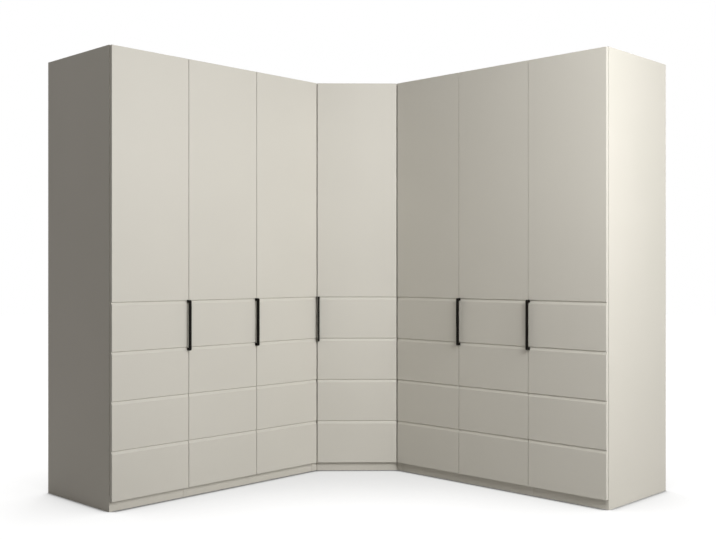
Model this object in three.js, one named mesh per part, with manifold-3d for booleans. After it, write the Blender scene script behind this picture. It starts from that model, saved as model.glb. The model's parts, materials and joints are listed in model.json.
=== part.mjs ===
// Corner wardrobe: two wings of three doors each, joined by a corner unit with a diagonal door.
//
// Millimetres, +Z up. The origin is on the floor, at the middle of the square that the
// wardrobe fills in plan. The room's corner is at -X +Y: the left wing stands along the
// left wall with its doors facing +X, and the right wing along the back wall, facing -Y.
//
// Each wing is built as it is seen from its own front: x runs from left to right, y is
// zero at the wall and falls towards the front, and z is the height above the floor.

import * as THREE from 'three';
import { mergeVertices } from 'three/addons/utils/BufferGeometryUtils.js';
import Module from 'manifold-3d';

const wasm = await Module();
wasm.setup();

// Overall sizes
const height = 2240;
const doorPitch = 450;
const cornerSide = 936;
const carcassDepth = 586;
const boardThickness = 18;
const fitGap = 0.3;
const cutOverrun = 1;

// Doors
const doorThickness = 20;
const doorStandOff = 2;
const doorReveal = 1.5;
const doorBottom = 50;
const doorTopDrop = 3;
const cornerDoorGap = 4;

// Grooves milled across each door's front
const grooveCount = 4;
const groovePitch = 238;
const lowestGroove = 243;
const grooveDepth = 6;
const grooveLip = 5;
const grooveBevel = 14;

// Handles
const handleLength = 257;
const handleWidth = 10;
const handleProjection = 26;
const handleBar = 12;
const handleFoot = 14;
const handleCorner = 8;
const handleInnerCorner = 4;
const handleArcSteps = 5;

// The diagonal door's handle stands this far in from the door's edge, so that the open
// door beside it stays clear of it.
const cornerHandleInset = 2.5;

// Concealed hinges. The four-bar linkage turns the door about nearly one line, which
// lies this far in from the door's hinge edge and this far out from the door's back.
const hingeAxisIn = 8;
const hingeAxisOut = 24;
const hingesPerDoor = 4;
const hingeEndDistance = 110;
const cupInset = 22.5;
const cupRadius = 17.5;
const cupDepth = 12;
const cupSides = 20;
const cupPinRadius = 3;
const cupPinAngleShare = 0.172;
const cupPinSides = 8;
const linkClearance = 0.3;
const linkThickness = 3;
const linkWidth = 12;
const linkTipClearance = 1.7;
const linkStartShare = 0.11;
const linkSteps = 5;
const armReach = 27;
const armLength = 44;
const armFront = 1.2;
const plateThickness = 3;
const plateTall = 36;
const plateFront = 10;
const plateLength = 42;

// Back boards, plinths, shelves and rails
const backThickness = 5;
const backInset = 12;
const backGroove = 6;
const plinthHeight = 48;
const plinthThickness = 16;
const plinthSetBack = 2;
const hatSpaceTall = 304;
const innerShelfCount = 3;
const shelfBehindHinges = 6;
const railTall = 30;
const railWide = 15;
const railWall = 1.5;
const railDrop = 70;
const railArcSteps = 6;
const railFlange = 4;
const railFlangeRim = 6;
const cornerRailLength = 640;
const cornerRailInShare = 0.56;
const railHangerWide = 24;
const railHangerThick = 4;
const railHangerInset = 90;
const railHangerPad = 50;

// Corner posts behind the diagonal door's two edges
const postFace = 16.5;
const postDepth = 52;

// Worked out from the sizes above
const frontDepth = carcassDepth + doorStandOff + doorThickness;
const pairWidth = 2 * doorPitch;
const wingLength = doorPitch + pairWidth;
const seamLength = cornerSide + wingLength;
const wallLength = seamLength - fitGap / 2;
const doorHeight = height - doorTopDrop - doorBottom;
const diagonalLength = (cornerSide - frontDepth) * Math.SQRT2;
const bottomHeight = plinthHeight + fitGap;
const topHeight = height - boardThickness;
const hatShelfHeight = topHeight - hatSpaceTall - boardThickness;
const shelfSpacing = (hatShelfHeight - bottomHeight) / (innerShelfCount + 1);
const insideDepth = backInset + backThickness + 2 * fitGap;
const shelfSetBack = plateFront + plateLength + shelfBehindHinges;
const linkInnerRadius = Math.hypot(hingeAxisIn, hingeAxisOut) + linkClearance;
const quarterTurn = Math.PI / 2;

// Finishes
const fronts = new THREE.MeshStandardMaterial({ color: '#cdc9be', roughness: 0.55, metalness: 0 });
const carcass = new THREE.MeshStandardMaterial({ color: '#c9c5b9', roughness: 0.6, metalness: 0 });
const backs = new THREE.MeshStandardMaterial({ color: '#d8d5cc', roughness: 0.7, metalness: 0 });
const black = new THREE.MeshStandardMaterial({ color: '#1c1a17', roughness: 0.45, metalness: 0.6 });
const steel = new THREE.MeshStandardMaterial({ color: '#b4b4b2', roughness: 0.3, metalness: 1 });

// Turns a closed geometry into a solid that can be cut and joined.
function solid(geometry) {
  const bare = geometry.clone();
  bare.deleteAttribute('normal');
  bare.deleteAttribute('uv');
  const merged = mergeVertices(bare);
  return new wasm.Manifold(new wasm.Mesh({
    numProp: 3,
    vertProperties: new Float32Array(merged.attributes.position.array),
    triVerts: new Uint32Array(merged.index.array),
  }));
}

// Turns a solid back into a geometry.
function surface(body) {
  const { vertProperties, triVerts } = body.getMesh();
  const geometry = new THREE.BufferGeometry();
  geometry.setAttribute('position', new THREE.BufferAttribute(new Float32Array(vertProperties), 3));
  geometry.setIndex(new THREE.BufferAttribute(new Uint32Array(triVerts), 1));
  geometry.computeVertexNormals();
  return geometry;
}

function piece(name, geometry, material, [x, y, z]) {
  const mesh = new THREE.Mesh(geometry, material);
  mesh.name = name;
  mesh.position.set(x, y, z);
  return mesh;
}

// A box from its lowest corner and its size.
function block([x, y, z], [wide, deep, tall]) {
  const geometry = new THREE.BoxGeometry(wide, deep, tall);
  return geometry.translate(x + wide / 2, y + deep / 2, z + tall / 2);
}

// An upright prism over an outline of [x, y] points.
function prism(outline, bottom, tall) {
  const shape = new THREE.Shape(outline.map(([x, y]) => new THREE.Vector2(x, y)));
  const geometry = new THREE.ExtrudeGeometry(shape, { depth: tall, bevelEnabled: false });
  return geometry.translate(0, 0, bottom);
}

// Runs an outline, drawn with y to its right and z upwards, along x.
function alongX(shape, length, curveSegments = 1) {
  const geometry = new THREE.ExtrudeGeometry(shape, { depth: length, bevelEnabled: false, curveSegments });
  const turn = new THREE.Matrix4().makeBasis(
    new THREE.Vector3(0, 1, 0),
    new THREE.Vector3(0, 0, 1),
    new THREE.Vector3(1, 0, 0),
  );
  return geometry.applyMatrix4(turn);
}

// The height of each of a door's hinges above the door's bottom edge.
function hingeHeights() {
  const step = (doorHeight - 2 * hingeEndDistance) / (hingesPerDoor - 1);
  return Array.from({ length: hingesPerDoor }, (_, i) => hingeEndDistance + i * step);
}

// A point at an angle round the hinge axis, as seen from above. Angles are turned from
// straight back, and `in` is measured from the hinge edge into the door.
function roundHinge(radius, angle) {
  return [hingeAxisIn + radius * Math.sin(angle), hingeAxisOut - radius * Math.cos(angle)];
}

// The parts of one hinge that stay on the carcass: mounting plate, arm and curved link.
// `toPlan` turns [in, out] of the door's hinge edge and back into a point of the plan,
// and `face` is how far in the carrying panel's face lies. The link ends in the cup.
function hingeArm(toPlan, face, middle) {
  const centred = (outline, tall) => prism(outline.map(toPlan), middle - tall / 2, tall);
  const first = linkStartShare * Math.PI;
  const last = Math.acos((hingeAxisOut - cupDepth + linkTipClearance) / linkInnerRadius);
  const angles = Array.from({ length: linkSteps + 1 }, (_, i) => first + (last - first) * i / linkSteps);
  const inner = angles.map((angle) => roundHinge(linkInnerRadius, angle));
  const outer = angles.map((angle) => roundHinge(linkInnerRadius + linkThickness, angle));
  const link = [...inner, ...outer.reverse()];
  const from = face - cutOverrun;
  const armBack = -doorStandOff - armLength;
  const arm = [
    [from, armBack],
    [armReach, armBack],
    [armReach, -armFront],
    [inner[0][0], -armFront],
    [from, -doorStandOff],
  ];
  const plateTo = face + plateThickness;
  const plateBack = -doorStandOff - plateFront - plateLength;
  const plate = [
    [from, plateBack],
    [plateTo, plateBack],
    [plateTo, plateBack + plateLength],
    [from, plateBack + plateLength],
  ];
  return [centred(plate, plateTall), centred(arm, linkWidth), centred(link, linkWidth)];
}

// Joins a column of hinge arms to the panel or post that carries them.
function addHinges(body, toPlan, face, base) {
  let joined = body;
  for (const rise of hingeHeights()) {
    for (const geometry of hingeArm(toPlan, face, base + rise)) {
      joined = joined.add(solid(geometry));
    }
  }
  return joined;
}

// A door leaf, from its left edge and its back face, with its front towards -y.
function doorGeometry(width, hingeSide) {
  const outline = [[0, 0], [0, doorHeight], [-doorThickness, doorHeight]];
  for (let i = grooveCount - 1; i >= 0; i -= 1) {
    const lip = lowestGroove + i * groovePitch;
    outline.push([-doorThickness, lip]);
    outline.push([-doorThickness + grooveDepth, lip - grooveLip]);
    outline.push([-doorThickness, lip - grooveLip - grooveBevel]);
  }
  outline.push([-doorThickness, 0]);
  const shape = new THREE.Shape(outline.map(([y, z]) => new THREE.Vector2(y, z)));
  let leaf = solid(alongX(shape, width));
  const across = (inward) => (hingeSide === 'left' ? inward : width - inward);
  const pinOrbit = linkInnerRadius - linkClearance - cupPinRadius;
  const [pinIn, pinOut] = roundHinge(pinOrbit, cupPinAngleShare * Math.PI);
  for (const rise of hingeHeights()) {
    const cup = new THREE.CylinderGeometry(cupRadius, cupRadius, cupDepth + cutOverrun, cupSides);
    cup.translate(across(cupInset), (cutOverrun - cupDepth) / 2, rise);
    const pinLength = 2 * (cupRadius + cutOverrun);
    const pin = new THREE.CylinderGeometry(cupPinRadius, cupPinRadius, pinLength, cupPinSides);
    pin.rotateX(quarterTurn);
    pin.translate(across(pinIn), -pinOut, rise);
    leaf = leaf.subtract(solid(cup)).add(solid(pin));
  }
  return surface(leaf);
}

// A bow handle, from its left side, the door's front face and its lowest point.
function handleGeometry() {
  const out = handleProjection;
  const inside = handleProjection - handleBar;
  const shape = new THREE.Shape();
  shape.moveTo(0, 0);
  shape.lineTo(0, handleFoot);
  shape.lineTo(-inside + handleInnerCorner, handleFoot);
  shape.absarc(-inside + handleInnerCorner, handleFoot + handleInnerCorner, handleInnerCorner,
    -quarterTurn, -2 * quarterTurn, true);
  shape.lineTo(-inside, handleLength - handleFoot - handleInnerCorner);
  shape.absarc(-inside + handleInnerCorner, handleLength - handleFoot - handleInnerCorner,
    handleInnerCorner, 2 * quarterTurn, quarterTurn, true);
  shape.lineTo(0, handleLength - handleFoot);
  shape.lineTo(0, handleLength);
  shape.lineTo(-out + handleCorner, handleLength);
  shape.absarc(-out + handleCorner, handleLength - handleCorner, handleCorner,
    quarterTurn, 2 * quarterTurn, false);
  shape.lineTo(-out, handleCorner);
  shape.absarc(-out + handleCorner, handleCorner, handleCorner, 2 * quarterTurn, 3 * quarterTurn, false);
  return alongX(shape, handleWidth, handleArcSteps);
}

// A door on its hinge axis, with its handle at the edge away from the hinges. The group
// stands at the axis, and `left` is where the door's left edge lies.
function hingedDoor({ name, left, width, back, hingeSide, handle, handleInset = 0 }) {
  const pivot = new THREE.Group();
  const axisX = hingeSide === 'left' ? left + hingeAxisIn : left + width - hingeAxisIn;
  const axisY = back - hingeAxisOut;
  pivot.name = `${name}_axis`;
  pivot.position.set(axisX, axisY, doorBottom);
  pivot.add(piece(name, doorGeometry(width, hingeSide), fronts, [left - axisX, back - axisY, 0]));
  if (handle) {
    const farLeft = left + width - handleInset - handleWidth;
    const handleLeft = hingeSide === 'left' ? farLeft : left + handleInset;
    const face = back - doorThickness - fitGap;
    const handleTop = lowestGroove + (grooveCount - 1) * groovePitch;
    pivot.add(piece(handle, handleGeometry(), black,
      [handleLeft - axisX, face - axisY, handleTop - handleLength]));
  }
  return pivot;
}

// A hanging rail's oval section, as a ring or, with a rim, its end flange.
function railSection(rim) {
  const radius = railWide / 2 + rim;
  const rise = (railTall - railWide) / 2;
  const oval = (target, r) => {
    target.absarc(0, rise, r, 0, 2 * quarterTurn, false);
    target.absarc(0, -rise, r, 2 * quarterTurn, 4 * quarterTurn, false);
    return target;
  };
  const shape = oval(new THREE.Shape(), radius);
  shape.holes.push(oval(new THREE.Path(), railWide / 2 - railWall));
  return shape;
}

// A straight rail with a flange screwed to the board at each end.
function railGeometry(length) {
  const tube = solid(alongX(railSection(0), length, railArcSteps));
  const flange = alongX(railSection(railFlangeRim), railFlange, railArcSteps);
  const far = flange.clone().translate(length - railFlange, 0, 0);
  return surface(tube.add(solid(flange)).add(solid(far)));
}

// A rail that hangs below a shelf on two straps.
function hungRailGeometry(length) {
  let rail = solid(alongX(railSection(0), length, railArcSteps));
  const rise = railDrop - fitGap;
  for (const middle of [railHangerInset, length - railHangerInset]) {
    const strap = block(
      [middle - railHangerWide / 2, -railHangerThick / 2, railTall / 2 - railWall],
      [railHangerWide, railHangerThick, rise - railTall / 2 + railWall],
    );
    const pad = block(
      [middle - railHangerPad / 2, -railHangerPad / 2, rise - railHangerThick],
      [railHangerPad, railHangerPad, railHangerThick],
    );
    rail = rail.add(solid(strap)).add(solid(pad));
  }
  return surface(rail);
}

// A side board, from its left face, with the back board's groove in its inner face.
// `inner` is +1 where the inside of the cupboard lies to its right, and -1 to its left.
function sideSolid(inner) {
  const board = solid(block([0, -carcassDepth, 0], [boardThickness, carcassDepth, height]));
  const grooveLeft = inner > 0 ? boardThickness - backGroove : -cutOverrun;
  const groove = block(
    [grooveLeft, -backInset - backThickness - 2 * fitGap, -cutOverrun],
    [backGroove + cutOverrun, backThickness + 2 * fitGap, height + 2 * cutOverrun],
  );
  return board.subtract(solid(groove));
}

// Plan of a wing door's hinge edge, for pieces drawn from a panel's left face.
function wingHingePlan(edge, direction) {
  return ([inward, out]) => [edge + direction * inward, -carcassDepth - doorStandOff - out];
}

// The left side board of a unit, with or without the hinges of the door beside it.
function leftSide(name, hinged) {
  const edge = doorReveal - fitGap / 2;
  const face = boardThickness - edge;
  const board = sideSolid(1);
  const body = hinged ? addHinges(board, wingHingePlan(edge, 1), face, doorBottom) : board;
  return piece(name, surface(body), carcass, [fitGap / 2, 0, 0]);
}

// The right side board of a unit that ends at `width`.
function rightSide(name, width, hinged) {
  const edge = boardThickness + fitGap / 2 - doorReveal;
  const board = sideSolid(-1);
  const body = hinged ? addHinges(board, wingHingePlan(edge, -1), edge, doorBottom) : board;
  return piece(name, surface(body), carcass, [width - fitGap / 2 - boardThickness, 0, 0]);
}

// The board down the middle of a pair, which carries the hinges of the door on its left.
function partition(name, middle) {
  const bottom = bottomHeight + boardThickness + fitGap;
  const tall = topHeight - fitGap - bottom;
  const depth = carcassDepth - insideDepth;
  const board = solid(block([0, -depth, 0], [boardThickness, depth, tall]));
  const edge = boardThickness / 2 - doorReveal;
  const toPlan = ([inward, out]) => [edge - inward, -depth - doorStandOff - out];
  const body = addHinges(board, toPlan, edge, doorBottom - bottom);
  return piece(name, surface(body), carcass, [middle - boardThickness / 2, -insideDepth, bottom]);
}

// A flat board between `left` and `right`, held clear of the back board.
function flatBoard(name, left, right, bottom, setBack) {
  const size = [right - left, carcassDepth - insideDepth - setBack, boardThickness];
  return piece(name, block([0, -size[1], 0], size), carcass, [left, -insideDepth, bottom]);
}

// The boards that every wing unit has.
function unitShell(name, width, hinged) {
  const shell = new THREE.Group();
  const left = fitGap / 2 + boardThickness + fitGap;
  const right = width - left;
  shell.add(leftSide(`${name}_side_left`, hinged.left));
  shell.add(rightSide(`${name}_side_right`, width, hinged.right));
  shell.add(flatBoard(`${name}_bottom`, left, right, bottomHeight, 0));
  shell.add(flatBoard(`${name}_top`, left, right, topHeight, 0));
  const backLeft = left - backGroove;
  const back = block(
    [0, -backThickness, 0],
    [right - left + 2 * backGroove, backThickness, height - bottomHeight],
  );
  shell.add(piece(`${name}_back`, back, backs, [backLeft, -backInset - fitGap, bottomHeight]));
  const plinth = block([0, 0, 0], [right - left, plinthThickness, plinthHeight]);
  shell.add(piece(`${name}_plinth`, plinth, carcass, [left, plinthSetBack - carcassDepth, 0]));
  return { shell, left, right };
}

// The middle of a hanging space, front to back.
function railPlace() {
  return -(insideDepth + carcassDepth - shelfSetBack) / 2;
}

// A hat shelf with the hanging rail below it.
function hangingSpace(group, name, left, right) {
  group.add(flatBoard(`${name}_hat_shelf`, left, right, hatShelfHeight, shelfSetBack));
  const rail = railGeometry(right - left);
  group.add(piece(`${name}_rail`, rail, steel, [left, railPlace(), hatShelfHeight - railDrop]));
}

// A unit one door wide.
function singleUnit(name, hingeSide) {
  const hinged = { left: hingeSide === 'left', right: hingeSide === 'right' };
  const { shell, left, right } = unitShell(name, doorPitch, hinged);
  hangingSpace(shell, name, left, right);
  shell.add(hingedDoor({
    name: `${name}_door`,
    left: doorReveal,
    width: doorPitch - 2 * doorReveal,
    back: -carcassDepth - doorStandOff,
    hingeSide,
    handle: `${name}_handle`,
  }));
  return shell;
}

// Both doors of a unit two doors wide. The one away from the corner has the handle.
function pairDoors(group, name, outerAt, hingeSides) {
  for (const [i, place] of ['left', 'right'].entries()) {
    const outer = place === outerAt;
    group.add(hingedDoor({
      name: `${name}_door_${outer ? 'outer' : 'inner'}`,
      left: i * doorPitch + doorReveal,
      width: doorPitch - 2 * doorReveal,
      back: -carcassDepth - doorStandOff,
      hingeSide: hingeSides[i],
      handle: outer ? `${name}_handle` : null,
    }));
  }
}

// The left wing's pair: one hanging space behind both doors.
function leftPair(name) {
  const { shell, left, right } = unitShell(name, pairWidth, { left: true, right: true });
  hangingSpace(shell, name, left, right);
  pairDoors(shell, name, 'left', ['left', 'right']);
  return shell;
}

// The right wing's pair: shelves beside the corner, and a hanging space.
function rightPair(name) {
  const { shell, left, right } = unitShell(name, pairWidth, { left: false, right: true });
  shell.add(partition(`${name}_partition`, doorPitch));
  const halfBoard = boardThickness / 2 + fitGap;
  const shelvesRight = doorPitch - halfBoard;
  hangingSpace(shell, name, doorPitch + halfBoard, right);
  shell.add(flatBoard(`${name}_upper_shelf`, left, shelvesRight, hatShelfHeight, shelfSetBack));
  for (let i = 1; i <= innerShelfCount; i += 1) {
    const bottom = bottomHeight + i * shelfSpacing;
    shell.add(flatBoard(`${name}_shelf_${i}`, left, shelvesRight, bottom, shelfSetBack));
  }
  pairDoors(shell, name, 'right', ['right', 'right']);
  return shell;
}

// Plan of the corner unit: x along the back wall and y negative along the left wall,
// both from the room's corner. `line` is where x minus y of the diagonal line lies.
const diagonalFront = cornerSide + frontDepth;
const diagonalCarcass = diagonalFront - (doorStandOff + doorThickness) * Math.SQRT2;
const cornerInside = cornerSide - fitGap / 2 - boardThickness - fitGap;

// A flat board that fills the corner unit up to a diagonal front.
function cornerBoard(line) {
  const reach = line - cornerInside;
  const outline = [
    [insideDepth, -insideDepth],
    [cornerInside, -insideDepth],
    [cornerInside, -reach],
    [reach, -cornerInside],
    [insideDepth, -cornerInside],
  ];
  return prism(outline, 0, boardThickness);
}

// A point [inward, out] of one diagonal door edge, in the corner unit's plan. `edge` is
// 'right' for the hinge edge beside the back wall's wing, and 'left' for the other.
function diagonalPlan(edge) {
  return ([inward, out]) => {
    const along = (cornerDoorGap + inward) * Math.SQRT1_2;
    const forward = (out - doorThickness) * Math.SQRT1_2;
    const long = cornerSide - along + forward;
    const short = frontDepth + along + forward;
    return edge === 'right' ? [long, -short] : [short, -long];
  };
}

// The wedge-shaped post between a side board and the diagonal door's edge.
function cornerPost(edge, hinged) {
  const toPlan = diagonalPlan(edge);
  const front = -doorStandOff;
  const onSide = (x) => (edge === 'right' ? [cornerInside, -x] : [x, -cornerInside]);
  const backInner = toPlan([postFace, front - postDepth]);
  const outline = [
    onSide(diagonalCarcass - cornerInside),
    toPlan([postFace, front]),
    backInner,
    onSide(backInner[0] - backInner[1] - cornerInside),
  ];
  const bottom = bottomHeight + boardThickness + fitGap;
  const body = solid(prism(outline, 0, topHeight - fitGap - bottom));
  const joined = hinged ? addHinges(body, toPlan, postFace, doorBottom - bottom) : body;
  return piece(`corner_post_${edge}`, surface(joined), carcass, [0, 0, bottom]);
}

// The diagonal rail under the corner's hat shelf.
function cornerRail() {
  const turned = new THREE.Group();
  const middle = diagonalCarcass * cornerRailInShare / 2;
  turned.position.set(middle, -middle, hatShelfHeight - railDrop);
  turned.rotation.z = quarterTurn / 2;
  turned.add(piece('corner_rail', hungRailGeometry(cornerRailLength), steel, [-cornerRailLength / 2, 0, 0]));
  return turned;
}

function cornerUnit() {
  const unit = new THREE.Group();
  unit.add(rightSide('corner_side_right', cornerSide, false));
  const turned = new THREE.Group();
  turned.rotation.z = quarterTurn;
  turned.position.set(0, -cornerSide, 0);
  turned.add(leftSide('corner_side_left', false));
  unit.add(turned);
  unit.add(cornerPost('left', false), cornerPost('right', true));
  const shelfLine = diagonalCarcass - (shelfSetBack + boardThickness) * Math.SQRT2;
  unit.add(piece('corner_bottom', cornerBoard(diagonalCarcass), carcass, [0, 0, bottomHeight]));
  unit.add(piece('corner_top', cornerBoard(diagonalCarcass), carcass, [0, 0, topHeight]));
  unit.add(piece('corner_hat_shelf', cornerBoard(shelfLine), carcass, [0, 0, hatShelfHeight]));
  unit.add(cornerRail());

  const backFrom = backInset + fitGap;
  const backTo = cornerInside + backGroove - fitGap;
  const backTall = height - bottomHeight;
  const backRight = block([0, -backThickness, 0], [backTo - backFrom, backThickness, backTall]);
  const leftLength = backTo - backFrom - backThickness - fitGap;
  const backLeft = block([0, -leftLength, 0], [backThickness, leftLength, backTall]);
  unit.add(piece('corner_back_right', backRight, backs, [backFrom, -backFrom, bottomHeight]));
  unit.add(piece('corner_back_left', backLeft, backs,
    [backFrom, -backFrom - backThickness - fitGap, bottomHeight]));

  const plinthLine = diagonalCarcass - plinthSetBack * Math.SQRT2 - cornerInside;
  const plinthBack = plinthLine - plinthThickness * Math.SQRT2;
  const plinth = [
    [cornerInside, -plinthLine], [plinthLine, -cornerInside],
    [plinthBack, -cornerInside], [cornerInside, -plinthBack],
  ];
  unit.add(piece('corner_plinth', prism(plinth, 0, plinthHeight), carcass, [0, 0, 0]));

  const diagonal = new THREE.Group();
  diagonal.position.set(frontDepth, -cornerSide, 0);
  diagonal.rotation.z = quarterTurn / 2;
  diagonal.add(hingedDoor({
    name: 'corner_door',
    left: cornerDoorGap,
    width: diagonalLength - 2 * cornerDoorGap,
    back: doorThickness,
    hingeSide: 'right',
    handle: 'corner_handle',
    handleInset: cornerHandleInset,
  }));
  unit.add(diagonal);
  return unit;
}

function placed(group, x) {
  group.position.x = x;
  return group;
}

const wardrobe = new THREE.Group();

const leftWing = new THREE.Group();
leftWing.position.set(-wallLength / 2, wallLength / 2 - seamLength, 0);
leftWing.rotation.z = quarterTurn;
leftWing.add(placed(singleUnit('left_end', 'left'), 0));
leftWing.add(placed(leftPair('left_pair'), doorPitch));

const rightWing = new THREE.Group();
rightWing.position.set(-wallLength / 2, wallLength / 2, 0);
rightWing.add(cornerUnit());
rightWing.add(placed(rightPair('right_pair'), cornerSide));
rightWing.add(placed(singleUnit('right_end', 'right'), cornerSide + pairWidth));

wardrobe.add(leftWing, rightWing);

export default wardrobe;
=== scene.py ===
"""Dresses the corner wardrobe: its finishes and small fittings, the studio and the camera.

Lengths in dataclass fields are millimetres unless a docstring says otherwise, and colours
are sRGB hex values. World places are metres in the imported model's own frame, +Z up, with the
room's corner at -X +Y, the left wing facing +X and the right wing facing -Y.
"""

import json
import logging
import math
from abc import ABC, abstractmethod
from dataclasses import dataclass, field
from enum import Enum
from typing import Iterable, Mapping, Sequence

import bmesh
import bpy
from mathutils import Matrix, Vector


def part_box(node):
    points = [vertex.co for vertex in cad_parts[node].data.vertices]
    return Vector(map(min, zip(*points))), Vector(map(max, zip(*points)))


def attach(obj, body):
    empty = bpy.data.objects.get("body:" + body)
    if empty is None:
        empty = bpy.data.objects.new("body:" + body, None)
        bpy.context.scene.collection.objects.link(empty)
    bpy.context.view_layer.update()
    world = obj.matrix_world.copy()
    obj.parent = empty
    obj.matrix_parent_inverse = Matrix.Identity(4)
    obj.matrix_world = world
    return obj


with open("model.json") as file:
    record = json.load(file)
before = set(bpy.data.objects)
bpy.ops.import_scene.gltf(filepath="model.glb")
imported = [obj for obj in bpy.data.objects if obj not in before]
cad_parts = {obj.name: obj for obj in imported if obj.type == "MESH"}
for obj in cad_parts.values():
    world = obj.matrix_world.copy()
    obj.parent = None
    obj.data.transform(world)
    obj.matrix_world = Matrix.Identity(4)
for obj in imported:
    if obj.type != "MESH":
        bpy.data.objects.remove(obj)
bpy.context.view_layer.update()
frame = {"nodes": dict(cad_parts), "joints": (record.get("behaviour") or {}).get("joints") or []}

MM = 0.001
UP = Vector((0.0, 0.0, 1.0))
CARCASS = "carcass"
log = logging.getLogger("wardrobe")

# A noise texture stays almost wholly between these two values.
NOISE_MIDDLE = (0.3, 0.7)

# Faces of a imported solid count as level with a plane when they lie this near, in millimetres.
LEVEL = 0.1

# Corners of packed faces are told apart by steps of a hundredth of a millimetre.
STEPS_PER_METRE = 1e5
SAME_CORNER = 0.01

# Angles in degrees, from which an edge is sharp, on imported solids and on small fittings, and
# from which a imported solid's edge is rounded.
SOLID_SHARP = 20.0
FITTING_SHARP = 35.0
ROUNDED = 30.0
ROUNDING_SEGMENTS = 2


# Colours and nodes


def linear(hex_colour: str) -> tuple[float, float, float, float]:
    """Turns an sRGB hex colour into linear red, green, blue and alpha, by the sRGB curve.

    Args:
        hex_colour: a colour such as "#cfcbc0".

    Returns:
        The linear colour, with an alpha of 1.
    """
    channels = (int(hex_colour[i:i + 2], 16) / 255 for i in (1, 3, 5))
    red, green, blue = (c / 12.92 if c <= 0.04045 else ((c + 0.055) / 1.055) ** 2.4 for c in channels)
    return red, green, blue, 1.0


def add_node(
    tree: bpy.types.NodeTree,
    kind: str,
    settings: Mapping[str, object] | None = None,
    links: Mapping[str | int, bpy.types.NodeSocket] | None = None,
) -> bpy.types.Node:
    """Adds a node with its settings and links.

    Args:
        tree: the node tree of a material or of the world.
        kind: the node's type, without its "ShaderNode" beginning.
        settings: values by name, of the node's attributes or of its input sockets.
        links: the sockets that feed it, by the name or number of the input.

    Returns:
        The new node.
    """
    node = tree.nodes.new(f"ShaderNode{kind}")
    for name, value in (settings or {}).items():
        if hasattr(node, name):
            setattr(node, name, value)
        else:
            node.inputs[name].default_value = value
    for name, socket in (links or {}).items():
        tree.links.new(socket, node.inputs[name])
    return node


def per_metre(spacing: float) -> float:
    """Returns the pattern scale whose blotches lie `spacing` millimetres apart."""
    return 1.0 / (spacing * MM)


def set_stops(
    ramp: bpy.types.Node, stops: Sequence[tuple[float, tuple[float, float, float, float]]],
) -> None:
    """Gives a colour ramp its stops.

    Args:
        ramp: the ramp's node.
        stops: pairs of position and linear colour, two or more, with rising positions.
    """
    elements = ramp.color_ramp.elements
    while len(elements) < len(stops):
        elements.new(1.0)
    for element, (position, colour) in zip(elements, stops):
        element.position = position
        element.color = colour


def set_tones(ramp: bpy.types.Node, darker: str, lighter: str) -> None:
    """Lets a colour ramp run between two near tones over a noise's middle."""
    set_stops(ramp, list(zip(NOISE_MIDDLE, (linear(darker), linear(lighter)))))


# Finishes


@dataclass(frozen=True)
class Finish(ABC):
    """What all finishes share: a name, a colour and the shader's plain values."""

    name: str
    colour: str
    roughness: float
    metallic: float = 0.0
    ior: float = 1.5

    def material(self) -> bpy.types.Material:
        """Gives the finish's material, made the first time that it is asked for.

        Returns:
            The material.
        """
        made = bpy.data.materials.get(self.name)
        if made is not None:
            return made
        made = bpy.data.materials.new(self.name)
        made.use_nodes = True
        made.diffuse_color = linear(self.colour)
        tree = made.node_tree
        tree.nodes.clear()
        shader = add_node(tree, "BsdfPrincipled", {
            "Base Color": linear(self.colour),
            "Roughness": self.roughness,
            "Metallic": self.metallic,
            "IOR": self.ior,
        })
        add_node(tree, "OutputMaterial", links={"Surface": shader.outputs["BSDF"]})
        self.surface(tree, shader)
        return made

    @abstractmethod
    def surface(self, tree: bpy.types.NodeTree, shader: bpy.types.Node) -> None:
        """Adds what makes this finish more than a flat colour.

        Args:
            tree: the material's nodes.
            shader: its Principled shader.
        """

    def gloss_range(self, spread: float) -> dict[str, float]:
        """Turns a noise's middle into roughness about the finish's own.

        Args:
            spread: how far the roughness strays to either side.

        Returns:
            The settings of the node that maps the noise.
        """
        low, high = NOISE_MIDDLE
        return {
            "From Min": low,
            "From Max": high,
            "To Min": self.roughness - spread,
            "To Max": self.roughness + spread,
        }


@dataclass(frozen=True)
class MattLacqueredMdf(Finish):
    """MDF fronts, sprayed with matt lacquer and left as sprayed.

    The tone and the gloss drift slowly across a sprayed panel, over some decimetres. The
    spray also leaves a faint orange peel, which breaks up the sheen at low angles. It lies
    about 1.5 mm apart on the real front and is drawn 5 mm apart, so that it shows at all.
    """

    darker: str = "#cac7be"
    lighter: str = "#cecbc2"
    drift_spacing: float = 900.0
    gloss_spacing: float = 300.0
    gloss_spread: float = 0.03
    peel_spacing: float = 5.0
    peel_depth: float = 0.03

    def surface(self, tree: bpy.types.NodeTree, shader: bpy.types.Node) -> None:
        """Adds the slow drift of tone and gloss, and the orange peel.

        Args:
            tree: the material's nodes.
            shader: its Principled shader.
        """
        place = {"Vector": add_node(tree, "TexCoord").outputs["Object"]}
        drift = add_node(tree, "TexNoise", {"Scale": per_metre(self.drift_spacing)}, place)
        tones = add_node(tree, "ValToRGB", links={"Fac": drift.outputs["Fac"]})
        set_tones(tones, self.darker, self.lighter)
        patches = add_node(tree, "TexNoise", {"Scale": per_metre(self.gloss_spacing)}, place)
        patchy = self.gloss_range(self.gloss_spread)
        gloss = add_node(tree, "MapRange", patchy, {"Value": patches.outputs["Fac"]})
        peel = add_node(tree, "TexNoise", {"Scale": per_metre(self.peel_spacing)}, place)
        depth = {"Distance": self.peel_depth * MM}
        relief = add_node(tree, "Bump", depth, {"Height": peel.outputs["Fac"]})
        tree.links.new(tones.outputs["Color"], shader.inputs["Base Color"])
        tree.links.new(gloss.outputs["Result"], shader.inputs["Roughness"])
        tree.links.new(relief.outputs["Normal"], shader.inputs["Normal"])


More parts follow.
